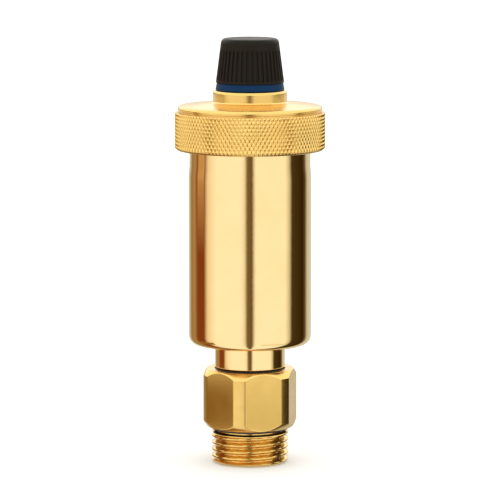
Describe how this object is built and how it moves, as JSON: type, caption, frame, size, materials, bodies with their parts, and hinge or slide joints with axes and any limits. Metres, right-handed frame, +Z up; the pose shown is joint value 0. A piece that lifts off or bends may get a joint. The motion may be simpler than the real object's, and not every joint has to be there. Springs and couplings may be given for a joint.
{
  "type": "automatic air vent",
  "caption": "Brass float-type automatic air vent: bottle body with knurled screw cover, blue ring and ribbed black dust cap, on a hexagonal self-closing isolating valve with male pipe thread.",
  "frame": {"origin": "centre of the seating face at the foot of the hexagon, on the port thread's axis", "axes": "+Z up the vent's axis towards the dust cap, -Z the way a mating port leaves, -Y the front"},
  "size_m": [0.041, 0.041, 0.1164],
  "materials": {
    "polished_brass": "cast, polished and lacquered",
    "turned_brass": "bright turned",
    "inner_brass": "as machined",
    "stainless_steel": "rolled sheet and drawn wire",
    "black_rubber": "matt moulded",
    "fibre_gasket": "pressed fibre",
    "moulded_plastic": "moulded",
    "float_plastic": "moulded",
    "blue_plastic": "moulded",
    "black_plastic": "moulded, fine satin"
  },
  "bodies": {
    "base": {"isolating_valve_body": "turned_brass", "port_o_ring": "black_rubber", "snap_ring": "stainless_steel"},
    "check_plunger": {"plunger": "moulded_plastic", "plunger_disc": "moulded_plastic", "plunger_gasket": "black_rubber", "plunger_spring": "stainless_steel"},
    "bottle_seal": {"neck_o_ring": "black_rubber"},
    "bottle": {"vent_body": "polished_brass"},
    "cover_seal": {"cover_o_ring": "black_rubber"},
    "head": {"cover": "turned_brass", "nozzle_gasket": "fibre_gasket", "vent_nozzle": "inner_brass", "lever_bracket": "stainless_steel", "pivot_pin": "stainless_steel", "pivot_clips": "stainless_steel"},
    "float": {"float_shell": "float_plastic", "float_lid": "float_plastic", "float_link": "stainless_steel"},
    "lever": {"lever": "stainless_steel"},
    "valve": {"valve_pin": "inner_brass", "valve_pad": "black_rubber", "pin_spring": "stainless_steel"},
    "cap_ring": {"cap_seal_ring": "blue_plastic"},
    "cap": {"dust_cap": "black_plastic", "cap_pad": "black_rubber"}
  },
  "joints": [
    {"name": "bottle_rise", "type": "slide", "parent": "base", "child": "bottle_seal", "axis": [0, 0, 1], "range_m": [0, 0.00139]},
    {"name": "bottle_turn", "type": "hinge", "parent": "bottle_seal", "child": "bottle", "pos_m": [0, 0, 0.02], "axis": [0, 0, 1], "range_deg": [0, 374.5]},
    {"name": "plunger_slide", "type": "slide", "parent": "base", "child": "check_plunger", "axis": [0, 0, 1], "range_m": [0, 0.0014], "stiffness_N_per_m": 200, "springref_m": 0.003, "deforming": ["plunger_spring"]},
    {"name": "cover_rise", "type": "slide", "parent": "bottle", "child": "cover_seal", "axis": [0, 0, 1], "range_m": [0, 0.006]},
    {"name": "cover_turn", "type": "hinge", "parent": "cover_seal", "child": "head", "pos_m": [0, 0, 0.08], "axis": [0, 0, 1], "range_deg": [0, 1440]},
    {"name": "float_slide", "type": "slide", "parent": "head", "child": "float", "axis": [0, 0, 1], "range_m": [0, 0.0062]},
    {"name": "lever_swing", "type": "hinge", "parent": "head", "child": "lever", "pos_m": [-0.0045, 0, 0.06708], "axis": [0, -1, 0], "range_deg": [0, 26]},
    {"name": "valve_slide", "type": "slide", "parent": "head", "child": "valve", "axis": [0, 0, 1], "range_m": [0, 0.0021], "stiffness_N_per_m": 50, "springref_m": -0.0015, "deforming": ["pin_spring"]},
    {"name": "cap_rise", "type": "slide", "parent": "head", "child": "cap_ring", "axis": [0, 0, 1], "range_m": [0, 0.006]},
    {"name": "cap_turn", "type": "hinge", "parent": "cap_ring", "child": "cap", "pos_m": [0, 0, 0.1], "axis": [0, 0, 1], "range_deg": [0, 2160]}
  ],
  "couplings": [
    {"joint": "bottle_turn", "follows": "bottle_rise", "rad_per_m": 4699.5},
    {"joint": "plunger_slide", "follows": "bottle_rise", "ratio": 1},
    {"joint": "cover_turn", "follows": "cover_rise", "rad_per_m": 4188.8},
    {"joint": "cap_turn", "follows": "cap_rise", "rad_per_m": 6283.2},
    {"joint": "lever_swing", "follows": "float_slide", "rad_per_m": 72.799},
    {"joint": "valve_slide", "follows": "float_slide", "ratio": 0.33333}
  ]
}
